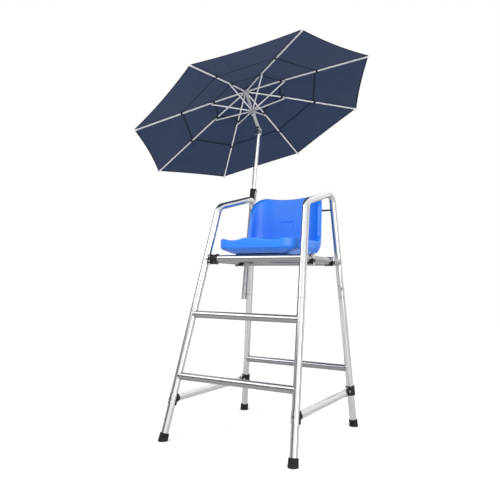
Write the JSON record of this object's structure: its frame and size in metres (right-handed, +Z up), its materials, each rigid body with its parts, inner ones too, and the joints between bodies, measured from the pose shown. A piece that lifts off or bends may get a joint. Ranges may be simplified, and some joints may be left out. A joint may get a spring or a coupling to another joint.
{
  "type": "lifeguard chair",
  "caption": "Tall tube-framed lifeguard chair with ladder rungs, a moulded bucket seat and a tilting umbrella clamped beside the backrest.",
  "frame": {"origin": "on the floor, midway between the four feet", "axes": "+Z up, -Y the front with the ladder rungs, +X the sitter's left; the umbrella stands on the -X side"},
  "size_m": [1.4352, 1.5518, 2.1266],
  "materials": {
    "steel_tube": "polished stainless tube",
    "bright_steel": "polished",
    "pole_metal": "polished",
    "chromed_steel": "polished",
    "rib_metal": "satin",
    "black_plastic": "satin moulded",
    "foot_rubber": "matt",
    "seat_plastic": "satin moulded",
    "hub_plastic": "satin moulded",
    "cap_plastic": "satin moulded",
    "canopy_cloth": "woven"
  },
  "bodies": {
    "frame": {"side_hoop_left": "steel_tube", "side_hoop_right": "steel_tube", "front_leg_left": "steel_tube", "front_leg_right": "steel_tube", "rear_leg_left": "steel_tube", "rear_leg_right": "steel_tube", "foot_cap_front_left": "foot_rubber", "foot_cap_front_right": "foot_rubber", "foot_cap_rear_left": "foot_rubber", "foot_cap_rear_right": "foot_rubber", "step_rung_lower": "steel_tube", "step_rung_upper": "steel_tube", "rear_rung": "steel_tube", "seat_rail_left": "steel_tube", "seat_rail_right": "steel_tube", "seat_rail_front": "steel_tube", "seat_rail_rear": "steel_tube", "back_rod": "bright_steel", "rail_socket": "black_plastic", "stretcher_saddle_left": "black_plastic", "stretcher_saddle_right": "black_plastic", "leg_ring_left": "black_plastic", "leg_ring_right": "black_plastic", "stretcher_left": "steel_tube", "stretcher_right": "steel_tube", "gear_hook": "bright_steel", "seat_bars": "bright_steel", "rail_saddles": "black_plastic", "seat_base": "black_plastic", "seat_shell": "seat_plastic", "holder_tube": "pole_metal", "holder_brackets": "black_plastic", "holder_collar": "black_plastic"},
    "clamp_lever": {"clamp_lever": "chromed_steel"},
    "pole_bushing": {"pole_bushing": "black_plastic"},
    "pole": {"pole": "pole_metal", "tilt_pin": "bright_steel"},
    "mast": {"mast": "pole_metal", "crown_hub": "hub_plastic", "crown_cap": "cap_plastic", "canopy_top": "canopy_cloth", "canopy_middle": "canopy_cloth", "canopy_outer": "canopy_cloth"},
    "runner": {"runner": "hub_plastic"},
    "rib_1": {"rib_1": "rib_metal"},
    "strut_1": {"strut_1": "rib_metal"},
    "rib_2": {"rib_2": "rib_metal"},
    "strut_2": {"strut_2": "rib_metal"},
    "rib_3": {"rib_3": "rib_metal"},
    "strut_3": {"strut_3": "rib_metal"},
    "rib_4": {"rib_4": "rib_metal"},
    "strut_4": {"strut_4": "rib_metal"},
    "rib_5": {"rib_5": "rib_metal"},
    "strut_5": {"strut_5": "rib_metal"},
    "rib_6": {"rib_6": "rib_metal"},
    "strut_6": {"strut_6": "rib_metal"},
    "rib_7": {"rib_7": "rib_metal"},
    "strut_7": {"strut_7": "rib_metal"},
    "rib_8": {"rib_8": "rib_metal"},
    "strut_8": {"strut_8": "rib_metal"}
  },
  "joints": [
    {"name": "lever_turn", "type": "hinge", "parent": "frame", "child": "clamp_lever", "pos_m": [-0.26766, 0.33518, 1.36235], "axis": [-0.5575, -0.829, 0.0431], "range_deg": [0, 100]},
    {"name": "pole_swivel", "type": "hinge", "parent": "frame", "child": "pole_bushing", "pos_m": [-0.28848, 0.35, 1.378], "axis": [0.0771, 0, 0.997], "continuous": true},
    {"name": "pole_slide", "type": "slide", "parent": "pole_bushing", "child": "pole", "axis": [0.0771, 0, 0.997], "range_m": [0, 0.3]},
    {"name": "mast_tilt", "type": "hinge", "parent": "pole", "child": "mast", "pos_m": [-0.2588, 0.35, 1.762], "axis": [0.0678, 0.9977, -0.0052], "range_deg": [-8, 26.65]},
    {"name": "runner_slide", "type": "slide", "parent": "mast", "child": "runner", "axis": [0.3773, -0.0305, -0.9256], "range_m": [0, 0.085], "deforming": ["canopy_top", "canopy_middle", "canopy_outer"]},
    {"name": "rib_1_pivot", "type": "hinge", "parent": "mast", "child": "rib_1", "pos_m": [-0.34662, 0.35992, 2.02363], "axis": [-0.0685, 0.9958, -0.0607], "range_deg": [0, 10.42]},
    {"name": "strut_1_pivot", "type": "hinge", "parent": "runner", "child": "strut_1", "pos_m": [-0.29467, 0.35572, 1.89618], "axis": [-0.0685, 0.9958, -0.0607], "range_deg": [-10.73, 0]},
    {"name": "rib_2_pivot", "type": "hinge", "parent": "mast", "child": "rib_2", "pos_m": [-0.3522, 0.3718, 2.02096], "axis": [-0.7015, 0.6431, -0.3071], "range_deg": [0, 10.42]},
    {"name": "strut_2_pivot", "type": "hinge", "parent": "runner", "child": "strut_2", "pos_m": [-0.30025, 0.3676, 1.89351], "axis": [-0.7015, 0.6431, -0.3071], "range_deg": [-10.73, 0]},
    {"name": "rib_3_pivot", "type": "hinge", "parent": "mast", "child": "rib_3", "pos_m": [-0.36398, 0.37583, 2.01603], "axis": [-0.9236, -0.0863, -0.3736], "range_deg": [0, 10.42]},
    {"name": "strut_3_pivot", "type": "hinge", "parent": "runner", "child": "strut_3", "pos_m": [-0.31203, 0.37163, 1.88858], "axis": [-0.9236, -0.0863, -0.3736], "range_deg": [-10.73, 0]},
    {"name": "rib_4_pivot", "type": "hinge", "parent": "mast", "child": "rib_4", "pos_m": [-0.37506, 0.36966, 2.01172], "axis": [-0.6046, -0.7652, -0.2212], "range_deg": [0, 10.42]},
    {"name": "strut_4_pivot", "type": "hinge", "parent": "runner", "child": "strut_4", "pos_m": [-0.32311, 0.36546, 1.88426], "axis": [-0.6046, -0.7652, -0.2212], "range_deg": [-10.73, 0]},
    {"name": "rib_5_pivot", "type": "hinge", "parent": "mast", "child": "rib_5", "pos_m": [-0.37895, 0.3569, 2.01056], "axis": [0.0685, -0.9958, 0.0607], "range_deg": [0, 10.42]},
    {"name": "strut_5_pivot", "type": "hinge", "parent": "runner", "child": "strut_5", "pos_m": [-0.32699, 0.3527, 1.8831], "axis": [0.0685, -0.9958, 0.0607], "range_deg": [-10.73, 0]},
    {"name": "rib_6_pivot", "type": "hinge", "parent": "mast", "child": "rib_6", "pos_m": [-0.37337, 0.34502, 2.01322], "axis": [0.7015, -0.6431, 0.3071], "range_deg": [0, 10.42]},
    {"name": "strut_6_pivot", "type": "hinge", "parent": "runner", "child": "strut_6", "pos_m": [-0.32141, 0.34082, 1.88577], "axis": [0.7015, -0.6431, 0.3071], "range_deg": [-10.73, 0]},
    {"name": "rib_7_pivot", "type": "hinge", "parent": "mast", "child": "rib_7", "pos_m": [-0.36158, 0.34098, 2.01816], "axis": [0.9236, 0.0863, 0.3736], "range_deg": [0, 10.42]},
    {"name": "strut_7_pivot", "type": "hinge", "parent": "runner", "child": "strut_7", "pos_m": [-0.30963, 0.33678, 1.8907], "axis": [0.9236, 0.0863, 0.3736], "range_deg": [-10.73, 0]},
    {"name": "rib_8_pivot", "type": "hinge", "parent": "mast", "child": "rib_8", "pos_m": [-0.35051, 0.34715, 2.02247], "axis": [0.6046, 0.7652, 0.2212], "range_deg": [0, 10.42]},
    {"name": "strut_8_pivot", "type": "hinge", "parent": "runner", "child": "strut_8", "pos_m": [-0.29856, 0.34295, 1.89501], "axis": [0.6046, 0.7652, 0.2212], "range_deg": [-10.73, 0]}
  ],
  "couplings": [
    {"joint": "rib_1_pivot", "follows": "runner_slide", "rad_per_m": 2.1292},
    {"joint": "strut_1_pivot", "follows": "runner_slide", "rad_per_m": -2.1929},
    {"joint": "rib_2_pivot", "follows": "runner_slide", "rad_per_m": 2.1292},
    {"joint": "strut_2_pivot", "follows": "runner_slide", "rad_per_m": -2.1929},
    {"joint": "rib_3_pivot", "follows": "runner_slide", "rad_per_m": 2.1292},
    {"joint": "strut_3_pivot", "follows": "runner_slide", "rad_per_m": -2.1929},
    {"joint": "rib_4_pivot", "follows": "runner_slide", "rad_per_m": 2.1292},
    {"joint": "strut_4_pivot", "follows": "runner_slide", "rad_per_m": -2.1929},
    {"joint": "rib_5_pivot", "follows": "runner_slide", "rad_per_m": 2.1292},
    {"joint": "strut_5_pivot", "follows": "runner_slide", "rad_per_m": -2.1929},
    {"joint": "rib_6_pivot", "follows": "runner_slide", "rad_per_m": 2.1292},
    {"joint": "strut_6_pivot", "follows": "runner_slide", "rad_per_m": -2.1929},
    {"joint": "rib_7_pivot", "follows": "runner_slide", "rad_per_m": 2.1292},
    {"joint": "strut_7_pivot", "follows": "runner_slide", "rad_per_m": -2.1929},
    {"joint": "rib_8_pivot", "follows": "runner_slide", "rad_per_m": 2.1292},
    {"joint": "strut_8_pivot", "follows": "runner_slide", "rad_per_m": -2.1929}
  ]
}
